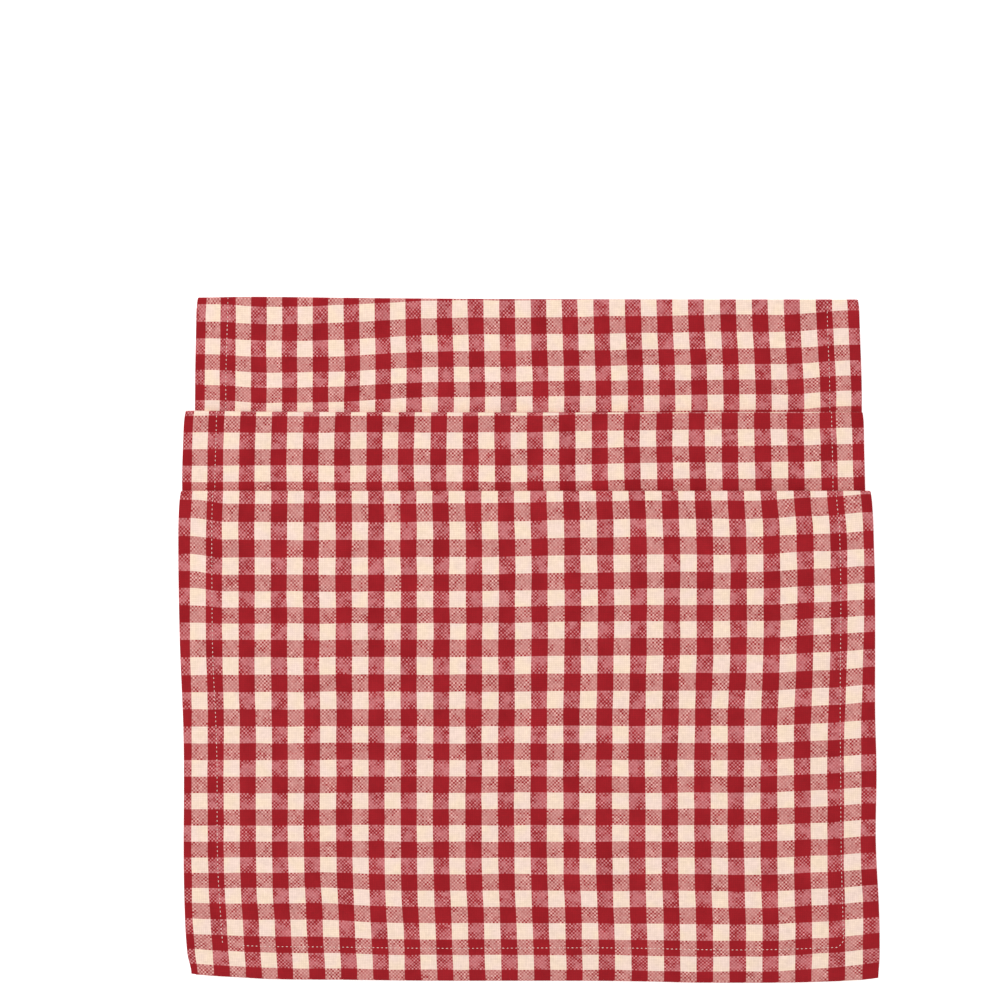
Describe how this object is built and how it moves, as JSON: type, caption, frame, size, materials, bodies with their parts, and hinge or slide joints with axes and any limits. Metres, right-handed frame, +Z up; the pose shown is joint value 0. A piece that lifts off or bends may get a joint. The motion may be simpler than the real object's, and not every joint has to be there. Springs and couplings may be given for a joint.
{
  "type": "folded table runner",
  "caption": "Narrow checked cotton table cloth, hemmed and machine-stitched all round, lying zigzag-folded flat with stepped back folds that open out.",
  "frame": {"origin": "centre of the folded cloth's footprint, on the surface that it lies on", "axes": "+Z up, +Y from the front hem to the stepped back folds, +X to the right along the folds and hems"},
  "size_m": [0.4, 0.396, 0.0117],
  "materials": {
    "cloth": "matt woven cotton, red and cream check",
    "thread": "cream sewing thread, slight sheen"
  },
  "bodies": {
    "leaf_1": {"back_fold_cloth": "cloth", "back_fold_hem_left": "cloth", "back_fold_hem_right": "cloth", "back_hem": "cloth", "back_hem_stitching": "thread", "leaf_1_cloth": "cloth", "leaf_1_hem_left": "cloth", "leaf_1_hem_right": "cloth", "leaf_1_stitching_left": "thread", "leaf_1_stitching_right": "thread"},
    "leaf_2": {"leaf_2_cloth": "cloth", "leaf_2_hem_left": "cloth", "leaf_2_hem_right": "cloth", "leaf_2_stitching_left": "thread", "leaf_2_stitching_right": "thread", "lower_near_fold_cloth": "cloth", "lower_near_fold_hem_left": "cloth", "lower_near_fold_hem_right": "cloth"},
    "leaf_3": {"leaf_3_cloth": "cloth", "leaf_3_hem_left": "cloth", "leaf_3_hem_right": "cloth", "leaf_3_stitching_left": "thread", "leaf_3_stitching_right": "thread", "middle_fold_cloth": "cloth", "middle_fold_hem_left": "cloth", "middle_fold_hem_right": "cloth"},
    "leaf_4": {"leaf_4_cloth": "cloth", "leaf_4_hem_left": "cloth", "leaf_4_hem_right": "cloth", "leaf_4_stitching_left": "thread", "leaf_4_stitching_right": "thread", "upper_near_fold_cloth": "cloth", "upper_near_fold_hem_left": "cloth", "upper_near_fold_hem_right": "cloth"},
    "leaf_5": {"front_fold_cloth": "cloth", "front_fold_hem_left": "cloth", "front_fold_hem_right": "cloth", "leaf_5_cloth": "cloth", "leaf_5_hem_left": "cloth", "leaf_5_hem_right": "cloth", "leaf_5_stitching_left": "thread", "leaf_5_stitching_right": "thread"},
    "leaf_6": {"front_hem": "cloth", "front_hem_stitching": "thread", "leaf_6_cloth": "cloth", "leaf_6_hem_left": "cloth", "leaf_6_hem_right": "cloth", "leaf_6_stitching_left": "thread", "leaf_6_stitching_right": "thread"}
  },
  "joints": [
    {"name": "back_fold_open", "type": "hinge", "parent": "leaf_1", "child": "leaf_2", "pos_m": [0, 0.19625, 0.00175], "axis": [-1, 0, 0], "range_deg": [0, 180], "deforming": ["back_fold_cloth", "back_fold_hem_left", "back_fold_hem_right"]},
    {"name": "lower_near_fold_open", "type": "hinge", "parent": "leaf_2", "child": "leaf_3", "pos_m": [0, -0.192, 0.00375], "axis": [1, 0, 0], "range_deg": [0, 180], "deforming": ["lower_near_fold_cloth", "lower_near_fold_hem_left", "lower_near_fold_hem_right"]},
    {"name": "middle_fold_open", "type": "hinge", "parent": "leaf_3", "child": "leaf_4", "pos_m": [0, 0.13025, 0.00575], "axis": [-1, 0, 0], "range_deg": [0, 180], "deforming": ["middle_fold_cloth", "middle_fold_hem_left", "middle_fold_hem_right"]},
    {"name": "upper_near_fold_open", "type": "hinge", "parent": "leaf_4", "child": "leaf_5", "pos_m": [0, -0.192, 0.00775], "axis": [1, 0, 0], "range_deg": [0, 180], "deforming": ["upper_near_fold_cloth", "upper_near_fold_hem_left", "upper_near_fold_hem_right"]},
    {"name": "front_fold_open", "type": "hinge", "parent": "leaf_5", "child": "leaf_6", "pos_m": [0, 0.08425, 0.00975], "axis": [-1, 0, 0], "range_deg": [0, 180], "deforming": ["front_fold_cloth", "front_fold_hem_left", "front_fold_hem_right"]}
  ],
  "couplings": [
    {"joint": "lower_near_fold_open", "follows": "back_fold_open", "ratio": 1},
    {"joint": "upper_near_fold_open", "follows": "middle_fold_open", "ratio": 1}
  ]
}
